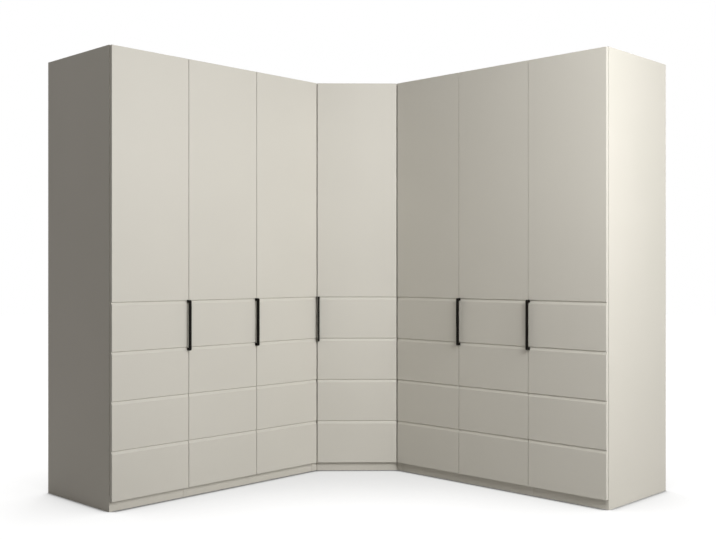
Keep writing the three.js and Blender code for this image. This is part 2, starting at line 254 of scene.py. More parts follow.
@dataclass(frozen=True)
class MelamineBoard(Finish):
    """Chipboard faced with pressed melamine film.

    The press plate leaves a fine pearl grain that makes the sheen sparkle a little. It lies
    about 0.4 mm apart on the real board and is drawn 2.5 mm apart, so that it shows at all.
    """

    darker: str = "#cac7bd"
    lighter: str = "#cecac1"
    drift_spacing: float = 700.0
    pearl_spacing: float = 2.5
    pearl_detail: float = 3.0
    pearl_spread: float = 0.04
    pearl_depth: float = 0.03

    def surface(self, tree: bpy.types.NodeTree, shader: bpy.types.Node) -> None:
        """Adds the slow drift of tone and the pearl grain.

        Args:
            tree: the material's nodes.
            shader: its Principled shader.
        """
        place = {"Vector": add_node(tree, "TexCoord").outputs["Object"]}
        drift = add_node(tree, "TexNoise", {"Scale": per_metre(self.drift_spacing)}, place)
        tones = add_node(tree, "ValToRGB", links={"Fac": drift.outputs["Fac"]})
        set_tones(tones, self.darker, self.lighter)
        grain = {"Scale": per_metre(self.pearl_spacing), "Detail": self.pearl_detail}
        pearl = add_node(tree, "TexNoise", grain, place)
        sparkle = self.gloss_range(self.pearl_spread)
        gloss = add_node(tree, "MapRange", sparkle, {"Value": pearl.outputs["Fac"]})
        depth = {"Distance": self.pearl_depth * MM}
        relief = add_node(tree, "Bump", depth, {"Height": pearl.outputs["Fac"]})
        tree.links.new(tones.outputs["Color"], shader.inputs["Base Color"])
        tree.links.new(gloss.outputs["Result"], shader.inputs["Roughness"])
        tree.links.new(relief.outputs["Normal"], shader.inputs["Normal"])


@dataclass(frozen=True)
class LacqueredHardboard(Finish):
    """Thin pressed hardboard with a rolled coat of lacquer.

    Fibres under the coat show as short soft flecks along the board. They lie about 2 mm
    apart and are drawn 6 mm apart, so that they show at all.
    """

    darker: str = "#cdcac0"
    lighter: str = "#d6d3ca"
    fleck_spacing: float = 6.0
    fleck_detail: float = 4.0
    fleck_stretch: float = 2.5
    fleck_depth: float = 0.04

    def surface(self, tree: bpy.types.NodeTree, shader: bpy.types.Node) -> None:
        """Adds the flecks of fibre in tone and relief.

        Args:
            tree: the material's nodes.
            shader: its Principled shader.
        """
        place = add_node(tree, "TexCoord").outputs["Object"]
        stretch = {"Scale": (1.0, 1.0, 1.0 / self.fleck_stretch)}
        longer = add_node(tree, "Mapping", stretch, {"Vector": place})
        along = {"Vector": longer.outputs["Vector"]}
        fibres = {"Scale": per_metre(self.fleck_spacing), "Detail": self.fleck_detail}
        flecks = add_node(tree, "TexNoise", fibres, along)
        tones = add_node(tree, "ValToRGB", links={"Fac": flecks.outputs["Fac"]})
        set_tones(tones, self.darker, self.lighter)
        depth = {"Distance": self.fleck_depth * MM}
        relief = add_node(tree, "Bump", depth, {"Height": flecks.outputs["Fac"]})
        tree.links.new(tones.outputs["Color"], shader.inputs["Base Color"])
        tree.links.new(relief.outputs["Normal"], shader.inputs["Normal"])


@dataclass(frozen=True)
class PowderCoatedZinc(Finish):
    """Die-cast zinc, powder coated in matt black.

    The powder leaves a fine sandy grain, about 0.3 mm apart and drawn 1.5 mm apart, so that
    it shows at all. Hands polish it a little, so the gloss is uneven over some centimetres.
    The coat has less sheen than a lacquer, so its index of refraction is set low.
    """

    polish_spacing: float = 40.0
    polish_spread: float = 0.08
    grain_spacing: float = 1.5
    grain_depth: float = 0.06

    def surface(self, tree: bpy.types.NodeTree, shader: bpy.types.Node) -> None:
        """Adds the uneven gloss and the sandy grain.

        Args:
            tree: the material's nodes.
            shader: its Principled shader.
        """
        place = {"Vector": add_node(tree, "TexCoord").outputs["Object"]}
        polish = add_node(tree, "TexNoise", {"Scale": per_metre(self.polish_spacing)}, place)
        worn = self.gloss_range(self.polish_spread)
        gloss = add_node(tree, "MapRange", worn, {"Value": polish.outputs["Fac"]})
        grain = add_node(tree, "TexNoise", {"Scale": per_metre(self.grain_spacing)}, place)
        depth = {"Distance": self.grain_depth * MM}
        relief = add_node(tree, "Bump", depth, {"Height": grain.outputs["Fac"]})
        tree.links.new(gloss.outputs["Result"], shader.inputs["Roughness"])
        tree.links.new(relief.outputs["Normal"], shader.inputs["Normal"])


@dataclass(frozen=True)
class ChromedTube(Finish):
    """Drawn steel tube, polished and plated with chromium.

    It mirrors its surroundings. Hangers leave fine scratches that dull it in patches, about
    1 mm wide and drawn 3 mm wide, so that they show at all.
    """

    scratch_spacing: float = 3.0
    scratch_detail: float = 4.0
    scratch_spread: float = 0.05

    def surface(self, tree: bpy.types.NodeTree, shader: bpy.types.Node) -> None:
        """Adds the scratches as uneven gloss.

        Args:
            tree: the material's nodes.
            shader: its Principled shader.
        """
        place = {"Vector": add_node(tree, "TexCoord").outputs["Object"]}
        wear = {"Scale": per_metre(self.scratch_spacing), "Detail": self.scratch_detail}
        scratches = add_node(tree, "TexNoise", wear, place)
        dull = self.gloss_range(self.scratch_spread)
        gloss = add_node(tree, "MapRange", dull, {"Value": scratches.outputs["Fac"]})
        tree.links.new(gloss.outputs["Result"], shader.inputs["Roughness"])


@dataclass(frozen=True)
class NickelledSteel(Finish):
    """Pressed steel hinges and screws, plated with nickel in a barrel.

    Tumbling leaves soft dents and an uneven gloss, about 4 mm apart, so that the metal
    gleams softly instead of mirroring.
    """

    dent_spacing: float = 4.0
    dent_spread: float = 0.06
    dent_depth: float = 0.015

    def surface(self, tree: bpy.types.NodeTree, shader: bpy.types.Node) -> None:
        """Adds the dents and the uneven gloss.

        Args:
            tree: the material's nodes.
            shader: its Principled shader.
        """
        place = {"Vector": add_node(tree, "TexCoord").outputs["Object"]}
        dents = add_node(tree, "TexNoise", {"Scale": per_metre(self.dent_spacing)}, place)
        uneven = self.gloss_range(self.dent_spread)
        gloss = add_node(tree, "MapRange", uneven, {"Value": dents.outputs["Fac"]})
        depth = {"Distance": self.dent_depth * MM}
        relief = add_node(tree, "Bump", depth, {"Height": dents.outputs["Fac"]})
        tree.links.new(gloss.outputs["Result"], shader.inputs["Roughness"])
        tree.links.new(relief.outputs["Normal"], shader.inputs["Normal"])


@dataclass(frozen=True)
class CastPolyurethane(Finish):
    """Self-adhesive bumpers of clear polyurethane, cast in drops.

    They let light through, and the cast skin is slightly frosted over some 2 mm.
    """

    clearness: float = 0.6
    frost_spacing: float = 2.0
    frost_spread: float = 0.05

    def surface(self, tree: bpy.types.NodeTree, shader: bpy.types.Node) -> None:
        """Lets light through and adds the frosting as uneven gloss.

        Args:
            tree: the material's nodes.
            shader: its Principled shader.
        """
        shader.inputs["Transmission Weight"].default_value = self.clearness
        place = {"Vector": add_node(tree, "TexCoord").outputs["Object"]}
        frost = add_node(tree, "TexNoise", {"Scale": per_metre(self.frost_spacing)}, place)
        dull = self.gloss_range(self.frost_spread)
        gloss = add_node(tree, "MapRange", dull, {"Value": frost.outputs["Fac"]})
        tree.links.new(gloss.outputs["Result"], shader.inputs["Roughness"])


FRONTS = MattLacqueredMdf("matt_lacquered_mdf", "#ccc9c0", roughness=0.52)
BOARDS = MelamineBoard("melamine_board", "#ccc8bf", roughness=0.5)
BACKS = LacqueredHardboard("lacquered_hardboard", "#d6d3ca", roughness=0.6)
HANDLES = PowderCoatedZinc("powder_coated_zinc", "#0a0704", roughness=0.55, ior=1.2)
RAILS = ChromedTube("chromed_tube", "#c9cbcc", roughness=0.14, metallic=1.0)
FITTINGS = NickelledSteel("nickelled_steel", "#c6c3bc", roughness=0.3, metallic=1.0)
BUMPERS = CastPolyurethane("cast_polyurethane", "#e4e6e2", roughness=0.3)


# Places and objects


class Facing(Enum):
    """Which way a front faces, as a level direction in x and y."""

    LEFT_WING = (1.0, 0.0)
    CORNER = (math.sqrt(0.5), -math.sqrt(0.5))
    RIGHT_WING = (0.0, -1.0)

    def outward(self) -> Vector:
        """Returns the direction out of the front."""
        return Vector((*self.value, 0.0))

    def along(self) -> Vector:
        """Returns the direction along the front, to the right of someone who looks at it."""
        return UP.cross(self.outward())


def upright(spot: Vector, normal: Vector) -> Matrix:
    """Places a fitting on an upright face.

    Args:
        spot: the fitting's place in world metres.
        normal: the level direction out of the face, along the fitting's z axis. The
            fitting's y axis points up.

    Returns:
        The matrix that turns millimetres of the fitting into world metres.
    """
    across = UP.cross(normal)
    axes = Matrix((across, normal.cross(across), normal)).transposed().to_4x4()
    return Matrix.Translation(spot) @ axes @ Matrix.Scale(MM, 4)


def circle(steps: int) -> list[tuple[float, float]]:
    """Returns the x and y of points that go once round a circle with a radius of 1."""
    angles = [2 * math.pi * i / steps for i in range(steps)]
    return [(math.cos(angle), math.sin(angle)) for angle in angles]


def add_object(name: str, data: bpy.types.ID) -> bpy.types.Object:
    """Puts a mesh, a lamp or a camera into the scene.

    Args:
        name: the object's name.
        data: what it shows.

    Returns:
        The new object.
    """
    made = bpy.data.objects.new(name, data)
    bpy.context.scene.collection.objects.link(made)
    return made


# Shapes of small fittings


@dataclass(frozen=True)
class ScrewHead:
    """The size of a screw head with a cross recess. Its inner sizes are shares of it."""

    radius: float
    rise: float
    steps: int = 24
    wall: float = 0.4
    crown: float = 0.86
    recess_reach: float = 0.62
    recess_half_width: float = 0.16
    recess_floor: float = 0.1


@dataclass
class Fitting:
    """Gathers the faces of one kind of small fitting and makes one piece of them.

    Every `place` is a matrix that turns a point of the fitting, in millimetres, into a world
    point, with z out of the surface that carries the fitting.
    """

    name: str
    mesh: bmesh.types.BMesh = field(default_factory=bmesh.new)

    def ring(
        self, place: Matrix, points: Iterable[Sequence[float]], z: float,
    ) -> list[bmesh.types.BMVert]:
        """Adds the points of an outline at one height and returns them."""
        return [self.mesh.verts.new(place @ Vector((x, y, z))) for x, y in points]

    def walls(self, lower: Sequence[bmesh.types.BMVert], upper: Sequence[bmesh.types.BMVert]) -> None:
        """Joins two rings with as many points by a wall.

        Args:
            lower: the points of the lower ring.
            upper: the points of the upper ring.
        """
        for i, vert in enumerate(lower):
            j = (i + 1) % len(lower)
            self.mesh.faces.new((vert, lower[j], upper[j], upper[i]))

    def plate(self, place: Matrix, outline: Sequence[tuple[float, float]], thickness: float) -> None:
        """Adds a flat plate that lies on the surface.

        Args:
            place: where the plate is.
            outline: x and y of each corner.
            thickness: how thick it is.
        """
        lower = self.ring(place, outline, 0.0)
        upper = self.ring(place, outline, thickness)
        self.mesh.faces.new(lower[::-1])
        self.mesh.faces.new(upper)
        self.walls(lower, upper)

    def turned(self, place: Matrix, profile: Sequence[tuple[float, float]], steps: int) -> None:
        """Adds a turned form about the z axis.

        Args:
            place: where the form is.
            profile: radius and z of each ring, each with a radius over 0.
            steps: how many faces go round.
        """
        rings = [
            self.ring(place, [(radius * x, radius * y) for x, y in circle(steps)], z)
            for radius, z in profile
        ]
        self.mesh.faces.new(rings[0][::-1])
        self.mesh.faces.new(rings[-1])
        for lower, upper in zip(rings, rings[1:]):
            self.walls(lower, upper)

    def screw(self, place: Matrix, head: ScrewHead) -> None:
        """Adds a screw head with a cross recess.

        Args:
            place: where the screw is.
            head: its size.
        """
        reach = head.radius * head.recess_reach
        arm = head.radius * head.recess_half_width
        cross: list[Vector] = []
        for quarter in range(4):
            turn = Matrix.Rotation(quarter * math.pi / 2, 2)
            cross += [turn @ Vector(point) for point in ((reach, -arm), (reach, arm), (arm, arm))]
        profile = (
            (head.radius, 0.0),
            (head.radius, head.rise * head.wall),
            (head.radius * head.crown, head.rise),
        )
        foot, wall, crown = (
            self.ring(place, [(radius * x, radius * y) for x, y in circle(head.steps)], z)
            for radius, z in profile
        )
        upper = self.ring(place, cross, head.rise)
        lower = self.ring(place, cross, head.rise * head.recess_floor)
        self.walls(foot, wall)
        self.walls(wall, crown)
        self.walls(lower, upper)
        self.mesh.faces.new(foot[::-1])
        self.mesh.faces.new(lower)
        edges = []
        for ring in (crown, upper):
            edges += [self.mesh.edges.get((v, ring[(i + 1) % len(ring)])) for i, v in enumerate(ring)]
        bmesh.ops.triangle_fill(self.mesh, use_beauty=True, use_dissolve=False, edges=edges)

    def make(self, finish: Finish, body: str) -> None:
        """Makes the piece, gives it its finish and lets it ride on a body.

        Args:
            finish: what it is made of.
            body: the body that carries it.
        """
        bmesh.ops.recalc_face_normals(self.mesh, faces=self.mesh.faces)
        data = bpy.data.meshes.new(self.name)
        self.mesh.to_mesh(data)
        self.mesh.free()
        data.materials.append(finish.material())
        data.shade_smooth()
        data.set_sharp_from_angle(angle=math.radians(FITTING_SHARP))
        piece = add_object(self.name, data)
        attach(piece, body)
        log.info("%s: %d faces, rides on %s", self.name, len(data.polygons), body)


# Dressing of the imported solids


def mark_sharp_edges(data: bpy.types.Mesh) -> None:
    """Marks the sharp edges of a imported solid, whose faces don't share their corners.

    Args:
        data: the solid's mesh.
    """
    def ends(edge: bpy.types.MeshEdge) -> frozenset[tuple[int, ...]]:
        """Returns the places of the edge's ends, in whole steps."""
        places = (data.vertices[corner].co for corner in edge.vertices)
        return frozenset(tuple(round(c * STEPS_PER_METRE) for c in place) for place in places)

    ends_of = {edge.key: ends(edge) for edge in data.edges}
    normals: dict[frozenset[tuple[int, ...]], list[Vector]] = {}
    for face in data.polygons:
        for key in face.edge_keys:
            normals.setdefault(ends_of[key], []).append(face.normal)
    limit = math.radians(SOLID_SHARP)
    for edge in data.edges:
        sides = normals.get(ends_of[edge.key], [])
        edge.use_edge_sharp = len(sides) != 2 or sides[0].angle(sides[1], 0.0) > limit


def dress(node: str, finish: Finish, rounding: float) -> bpy.types.Object:
    """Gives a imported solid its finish, and its edges a small rounding.

    Args:
        node: the solid's name.
        finish: what it is made of.
        rounding: the radius of its edges in millimetres.

    Returns:
        The solid's object.
    """
    piece = frame["nodes"][node]
    piece.data.materials.clear()
    piece.data.materials.append(finish.material())
    normals = piece.data.attributes.get("custom_normal")
    if normals is not None:
        piece.data.attributes.remove(normals)
    mark_sharp_edges(piece.data)
    for face in piece.data.polygons:
        face.use_smooth = True
    joined = piece.modifiers.new("joined_corners", "WELD")
    joined.merge_threshold = SAME_CORNER * MM
    bevel = piece.modifiers.new("rounding", "BEVEL")
    bevel.width = rounding * MM
    bevel.segments = ROUNDING_SEGMENTS
    bevel.limit_method = "ANGLE"
    bevel.angle_limit = math.radians(ROUNDED)
    bevel.harden_normals = True
    log.info("%s: dressed in %s", node, finish.name)
    return piece


def finish_part(piece: bpy.types.Object, finish: Finish, faces: Sequence[bpy.types.MeshPolygon]) -> None:
    """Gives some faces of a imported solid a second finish.

    Args:
        piece: the solid's object.
        finish: the second finish.
        faces: the faces that it covers.
    """
    piece.data.materials.append(finish.material())
    slot = len(piece.data.materials) - 1
    for face in faces:
        face.material_index = slot
    log.info("%s: %d faces in %s", piece.name, len(faces), finish.name)


# Doors and their hinges


class Carrier(Enum):
    """What carries a door's hinges, and how far in from the door's edge its face lies."""

    SIDE_BOARD = 16.65
    PARTITION = 7.5
    CORNER_POST = 16.5


@dataclass(frozen=True)
class HingeSizes:
    """The sizes of the concealed hinges.

    Names with `in` measure in from the door's hinge edge, names with `out` measure out from
    the door's back, and names with `rise` measure from the middle of the hinge.
    """

    per_door: int = 4
    end_distance: float = 110.0
    axis_in: float = 8.0
    axis_out: float = 24.0

    # The cup in the door, and its flange with two ears.
    cup_in: float = 22.5
    cup_radius: float = 17.5
    cup_depth: float = 12.0
    flange: float = 0.8
    flange_half_width: float = 11.0
    flange_lip: float = 1.5
    rim_room: float = 0.2
    rim_drop: float = 3.6
    ear_in: float = 32.0
    ear_rise: float = 23.0
    ear_half_width: float = 6.5
    ear_half_flat: float = 3.0
    ear_screw: ScrewHead = ScrewHead(3.4, 0.7)

    # The mounting plate, and the arm that stands off behind the door.
    plate: float = 3.0
    plate_screw_out: float = -33.0
    plate_screw_rise: float = 12.2
    plate_screw: ScrewHead = ScrewHead(3.7, 1.4)
    arm_in: float = 27.0
    arm_out: float = -2.0
    arm_screws_out: Sequence[float] = (-9.0, -24.0, -40.0)
    arm_screw: ScrewHead = ScrewHead(3.3, 0.9)

    def flange_outline(self) -> list[tuple[float, float]]:
        """Draws the part of a cup's flange that lies above the cup, with its ear.

        Returns:
            How far in and how high above the hinge's middle each corner lies.
        """
        near = self.cup_in - self.flange_half_width
        far = self.cup_in + self.flange_half_width
        ear_end = self.ear_in + self.ear_half_width
        ear_top = self.ear_rise + self.ear_half_width
        return [
            (near, self.cup_radius - self.rim_drop),
            (self.cup_in, self.cup_radius + self.rim_room),
            (far, self.cup_radius - self.rim_drop),
            (ear_end, self.ear_rise - self.ear_half_flat),
            (ear_end, self.ear_rise + self.ear_half_flat),
            (self.ear_in + self.ear_half_flat, ear_top),
            (self.ear_in - self.ear_half_flat, ear_top),
            (near, self.cup_radius + self.flange_lip),
        ]


@dataclass(frozen=True)
class BumperSizes:
    """The sizes of the clear drops that a shut door rests on.

    The profile gives the radius and the rise of each ring as shares of the whole.
    """

    radius: float = 4.0
    rise: float = 1.8
    profile: Sequence[tuple[float, float]] = ((1.0, 0.0), (1.0, 0.4), (0.8, 0.85), (0.45, 1.0))
    steps: int = 20
    from_edge: float = 25.0
    from_end: float = 7.8

    def rings(self) -> list[tuple[float, float]]:
        """Returns the radius and z of each ring."""
        return [(self.radius * wide, self.rise * high) for wide, high in self.profile]


@dataclass
class HingeEdge:
    """The hinge edge of one shut door, from which its fittings are placed."""

    joint: Mapping[str, object]
    facing: Facing
    sizes: HingeSizes
    outward: Vector = field(init=False)
    inward: Vector = field(init=False)
    spot: Vector = field(init=False)

    def __post_init__(self) -> None:
        """Works out the edge's directions and its place from the joint."""
        self.outward = self.facing.outward()
        along = self.facing.along()
        self.inward = along if self.joint["axis"][2] < 0 else -along
        axis = Vector(self.joint["pos_m"])
        away = self.sizes.axis_in * self.inward + self.sizes.axis_out * self.outward
        self.spot = axis - away * MM

    def place(self, inward: float, outward: float, height: float, normal: Vector) -> Matrix:
        """Places a fitting on the door or its carrier.

        Args:
            inward: how far in from the hinge edge, in millimetres.
            outward: how far out from the door's back, in millimetres.
            height: the height above the floor, in metres.
            normal: the level direction of the fitting's z axis.

        Returns:
            The matrix that turns millimetres of the fitting into world metres.
        """
        spot = self.spot + (inward * self.inward + outward * self.outward) * MM
        spot.z = height
        return upright(spot, normal)

    def measured(self, point: Vector) -> tuple[float, float]:
        """Returns how far in and out a world point lies, in millimetres."""
        away = point - self.spot
        return away.dot(self.inward) / MM, away.dot(self.outward) / MM


@dataclass
class DoorLeaf:
    """One door with its handle and the fittings that swing with it.

    Its lowest and highest points, `low` and `high`, are in metres.
    """

    door: str
    body: str
    joint: str
    facing: Facing
    carrier_node: str
    carrier: Carrier
    handle: str | None = None
    rounding: float = 0.6
    handle_rounding: float = 1.2
    handle_foot: float = 14.0
    handle_screw: ScrewHead = ScrewHead(3.6, 0.5)
    bumper: BumperSizes = BumperSizes()
    hinge: HingeSizes = HingeSizes()
    edge: HingeEdge = field(init=False)
    low: float = field(init=False)
    high: float = field(init=False)

    def __post_init__(self) -> None:
        """Finds the door's hinge edge and its lowest and highest points."""
        joint = next(j for j in frame["joints"] if j["name"] == self.joint)
        self.edge = HingeEdge(joint, self.facing, self.hinge)
        self.low, self.high = (corner.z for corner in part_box(self.door))

    def build(self) -> None:
        """Dresses the door and its carrier, and adds their fittings."""
        self.dress_door()
        self.dress_carrier()
        self.add_cup_flanges()
        self.add_hinge_screws()
        self.add_bumpers()
        if self.handle:
            dress(self.handle, HANDLES, self.handle_rounding)
            self.add_handle_screws()

    def heights(self) -> list[float]:
        """Spreads the hinges evenly between the door's ends.

        Returns:
            The height of each hinge above the floor, in metres.
        """
        first = self.low + self.hinge.end_distance * MM
        last = self.high - self.hinge.end_distance * MM
        gaps = self.hinge.per_door - 1
        return [first + (last - first) * i / gaps for i in range(self.hinge.per_door)]

    def dress_door(self) -> None:
        """Gives the door its lacquer and its hinge cups their plating."""
        piece = dress(self.door, FRONTS, self.rounding)
        cups = []
        for face in piece.data.polygons:
            inward, outward = self.edge.measured(face.center)
            if not LEVEL < outward < self.hinge.cup_depth + LEVEL:
                continue
            rise = min(abs(face.center.z - height) for height in self.heights()) / MM
            if math.hypot(inward - self.hinge.cup_in, rise) < self.hinge.cup_radius + LEVEL:
                cups.append(face)
        finish_part(piece, FITTINGS, cups)

    def dress_carrier(self) -> None:
        """Plates the hinge arms that are one solid with the board that carries them."""
        piece = frame["nodes"][self.carrier_node]
        arms = []
        for face in piece.data.polygons:
            inward, outward = self.edge.measured(face.center)
            if inward > self.carrier.value + LEVEL or outward > self.hinge.arm_out + LEVEL:
                arms.append(face)
        finish_part(piece, FITTINGS, arms)

    def add_cup_flanges(self) -> None:
        """Adds the pressed flange round each cup, with its two screws."""
        flanges = Fitting(f"{self.door}_cup_flanges")
        hinge = self.hinge
        back = -self.edge.outward
        side = math.copysign(1.0, UP.cross(back).dot(self.edge.inward))
        for height in self.heights():
            place = self.edge.place(0.0, 0.0, height, back)
            for end in (-1.0, 1.0):
                outline = [(side * x, end * y) for x, y in hinge.flange_outline()]
                flanges.plate(place, outline, hinge.flange)
                ear = Vector((side * hinge.ear_in, end * hinge.ear_rise, hinge.flange))
                flanges.screw(place @ Matrix.Translation(ear), hinge.ear_screw)
        flanges.make(FITTINGS, self.body)

    def add_hinge_screws(self) -> None:
        """Adds the screws of each mounting plate and of each hinge arm."""
        screws = Fitting(f"{self.door}_hinge_screws")
        hinge = self.hinge
        inward = self.edge.inward
        on_plate = self.carrier.value + hinge.plate
        for height in self.heights():
            for rise in (-hinge.plate_screw_rise, hinge.plate_screw_rise):
                place = self.edge.place(on_plate, hinge.plate_screw_out, height + rise * MM, inward)
                screws.screw(place, hinge.plate_screw)
            for out in hinge.arm_screws_out:
                screws.screw(self.edge.place(hinge.arm_in, out, height, inward), hinge.arm_screw)
        screws.make(FITTINGS, CARCASS)

    def add_bumpers(self) -> None:
        """Adds the clear bumpers that the shut door rests on."""
        corners = frame["nodes"][self.door].data.vertices
        width = max(self.edge.measured(corner.co)[0] for corner in corners)
        inward = width - self.bumper.from_edge
        bumpers = Fitting(f"{self.door}_bumpers")
        for height in (self.low + self.bumper.from_end * MM, self.high - self.bumper.from_end * MM):
            place = self.edge.place(inward, 0.0, height, -self.edge.outward)
            bumpers.turned(place, self.bumper.rings(), self.bumper.steps)
        bumpers.make(BUMPERS, self.body)

    def add_handle_screws(self) -> None:
        """Adds the flush heads of the two screws that hold the handle."""
        low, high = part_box(self.handle)
        inward, _ = self.edge.measured((low + high) / 2)
        screws = Fitting(f"{self.handle}_screws")
        for height in (low.z + self.handle_foot / 2 * MM, high.z - self.handle_foot / 2 * MM):
            place = self.edge.place(inward, 0.0, height, -self.edge.outward)
            screws.screw(place, self.handle_screw)
        screws.make(FITTINGS, self.body)


# Units


@dataclass
class Unit:
    """The fixed boards, shelves and rails of one unit."""

    name: str
    boards: Sequence[str]
    backs: Sequence[str] = ("back",)
    rails: Sequence[str] = ("rail",)
    board_rounding: float = 0.5
    thin_rounding: float = 0.3

    def build(self) -> None:
        """Dresses every piece of the unit."""
        for board in self.boards:
            dress(f"{self.name}_{board}", BOARDS, self.board_rounding)
        for back in self.backs:
            dress(f"{self.name}_{back}", BACKS, self.thin_rounding)
        for rail in self.rails:
            dress(f"{self.name}_{rail}", RAILS, self.thin_rounding)


@dataclass
class WingUnit(Unit):
    """A unit of a straight wing, whose rail has a flange on each side board."""

    boards: Sequence[str] = ("side_left", "side_right", "bottom", "top", "plinth", "hat_shelf")
    facing: Facing = Facing.RIGHT_WING
    rail_flange: float = 4.0
    rail_screw: ScrewHead = ScrewHead(2.6, 1.2)
    screw_rise: float = 18.0

    def build(self) -> None:
        """Dresses the unit and adds its rail's screws."""
        super().build()
        self.add_rail_screws()

    def add_rail_screws(self) -> None:
        """Adds the two screws of each rail flange."""
        low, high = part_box(f"{self.name}_rail")
        along = self.facing.along()
        centre = (low + high) / 2
        reach = abs((high - low).dot(along)) / 2 - self.rail_flange * MM
        screws = Fitting(f"{self.name}_rail_screws")
        for way in (-1.0, 1.0):
            for rise in (-self.screw_rise, self.screw_rise):
                spot = centre + way * reach * along + rise * MM * UP
                screws.screw(upright(spot, -way * along), self.rail_screw)
        screws.make(FITTINGS, CARCASS)


@dataclass
class ShelfPins:
    """The pins under the loose shelves beside the corner, each a shaft with a collar."""

    shelves: Sequence[str]
    length: float = 9.0
    radius: float = 2.5
    collar_radius: float = 4.5
    collar_length: float = 1.2
    shaft_start: float = 1.6
    room: float = 0.2
    from_end: float = 37.0
    steps: int = 16

    def build(self) -> None:
        """Adds four pins under each shelf, in the boards on both sides of it."""
        pins = Fitting("right_pair_shelf_pins")
        along = Facing.RIGHT_WING.along()
        profile = (
            (self.collar_radius, 0.0),
            (self.collar_radius, self.collar_length),
            (self.radius, self.shaft_start),
            (self.radius, self.length),
        )
        for shelf in self.shelves:
            low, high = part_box(shelf)
            z = low.z - (self.collar_radius + self.room) * MM
            for way, x in ((1.0, low.x), (-1.0, high.x)):
                for y in (low.y + self.from_end * MM, high.y - self.from_end * MM):
                    pins.turned(upright(Vector((x, y, z)), way * along), profile, self.steps)
        pins.make(FITTINGS, CARCASS)


# Studio


def background_rays(tree: bpy.types.NodeTree) -> bpy.types.NodeSocket:
    """Tells the rays that should meet a white background from those that light the scene.

    Args:
        tree: the nodes of the world or of the floor.

    Returns:
        The socket that is 1 for the rays of the camera and of glossy and clear surfaces,
        and otherwise 0.
    """
    path = add_node(tree, "LightPath").outputs
    gloss = {0: path["Is Camera Ray"], 1: path["Is Glossy Ray"]}
    either = add_node(tree, "Math", {"operation": "MAXIMUM"}, gloss)
    clear = {0: either.outputs[0], 1: path["Is Transmission Ray"]}
    return add_node(tree, "Math", {"operation": "MAXIMUM"}, clear).outputs[0]


@dataclass(frozen=True)
class LevelCamera:
    """The level camera at the photograph's place, in metres. Its azimuth is in degrees."""

    place: tuple[float, float, float] = (3.555, -3.678, 1.160)
    azimuth: float = 44.06
    lens: float = 49.14
    sensor: float = 36.0

    def build(self) -> None:
        """Makes the camera and lets the scene use it."""
        data = bpy.data.cameras.new("camera")
        data.sensor_fit = "HORIZONTAL"
        data.sensor_width = self.sensor
        data.lens = self.lens
        camera = add_object("camera", data)
        camera.location = self.place
        camera.rotation_euler = (math.pi / 2, 0.0, math.radians(self.azimuth))
        bpy.context.scene.camera = camera


@dataclass(frozen=True)
class Surround:
    """The world: faint even light from all round, and white for the camera and in gloss."""

    colour: str = "#fff4e8"
    strength: float = 0.141
    seen_colour: str = "#ffffff"

    def build(self) -> None:
        """Makes the world."""
        world = bpy.data.worlds.new("studio")
        world.use_nodes = True
        tree = world.node_tree
        tree.nodes.clear()
        even = {"Color": linear(self.colour), "Strength": self.strength}
        light = add_node(tree, "Background", even)
        white = add_node(tree, "Background", {"Color": linear(self.seen_colour)})
        shares = {0: background_rays(tree), 1: light.outputs[0], 2: white.outputs[0]}
        mix = add_node(tree, "MixShader", links=shares)
        add_node(tree, "OutputWorld", links={"Surface": mix.outputs[0]})
        bpy.context.scene.world = world


@dataclass(frozen=True)
class Softbox:
    """One square studio lamp. Its place, aim and side are in metres, its power in watts."""

    name: str
    place: tuple[float, float, float]
    power: float
    aim: tuple[float, float, float] = (0.0, 0.2, 1.1)
    side: float = 1.4

    def build(self) -> None:
        """Makes the lamp."""
        lamp = bpy.data.lights.new(self.name, "AREA")
        lamp.shape = "SQUARE"
        lamp.size = self.side
        lamp.energy = self.power
        holder = add_object(self.name, lamp)
        holder.location = self.place
        beam = Vector(self.aim) - Vector(self.place)
        holder.rotation_euler = beam.to_track_quat("-Z", "Y").to_euler()
        holder.visible_camera = False
        log.info("%s: %.0f W from %s", self.name, self.power, self.place)


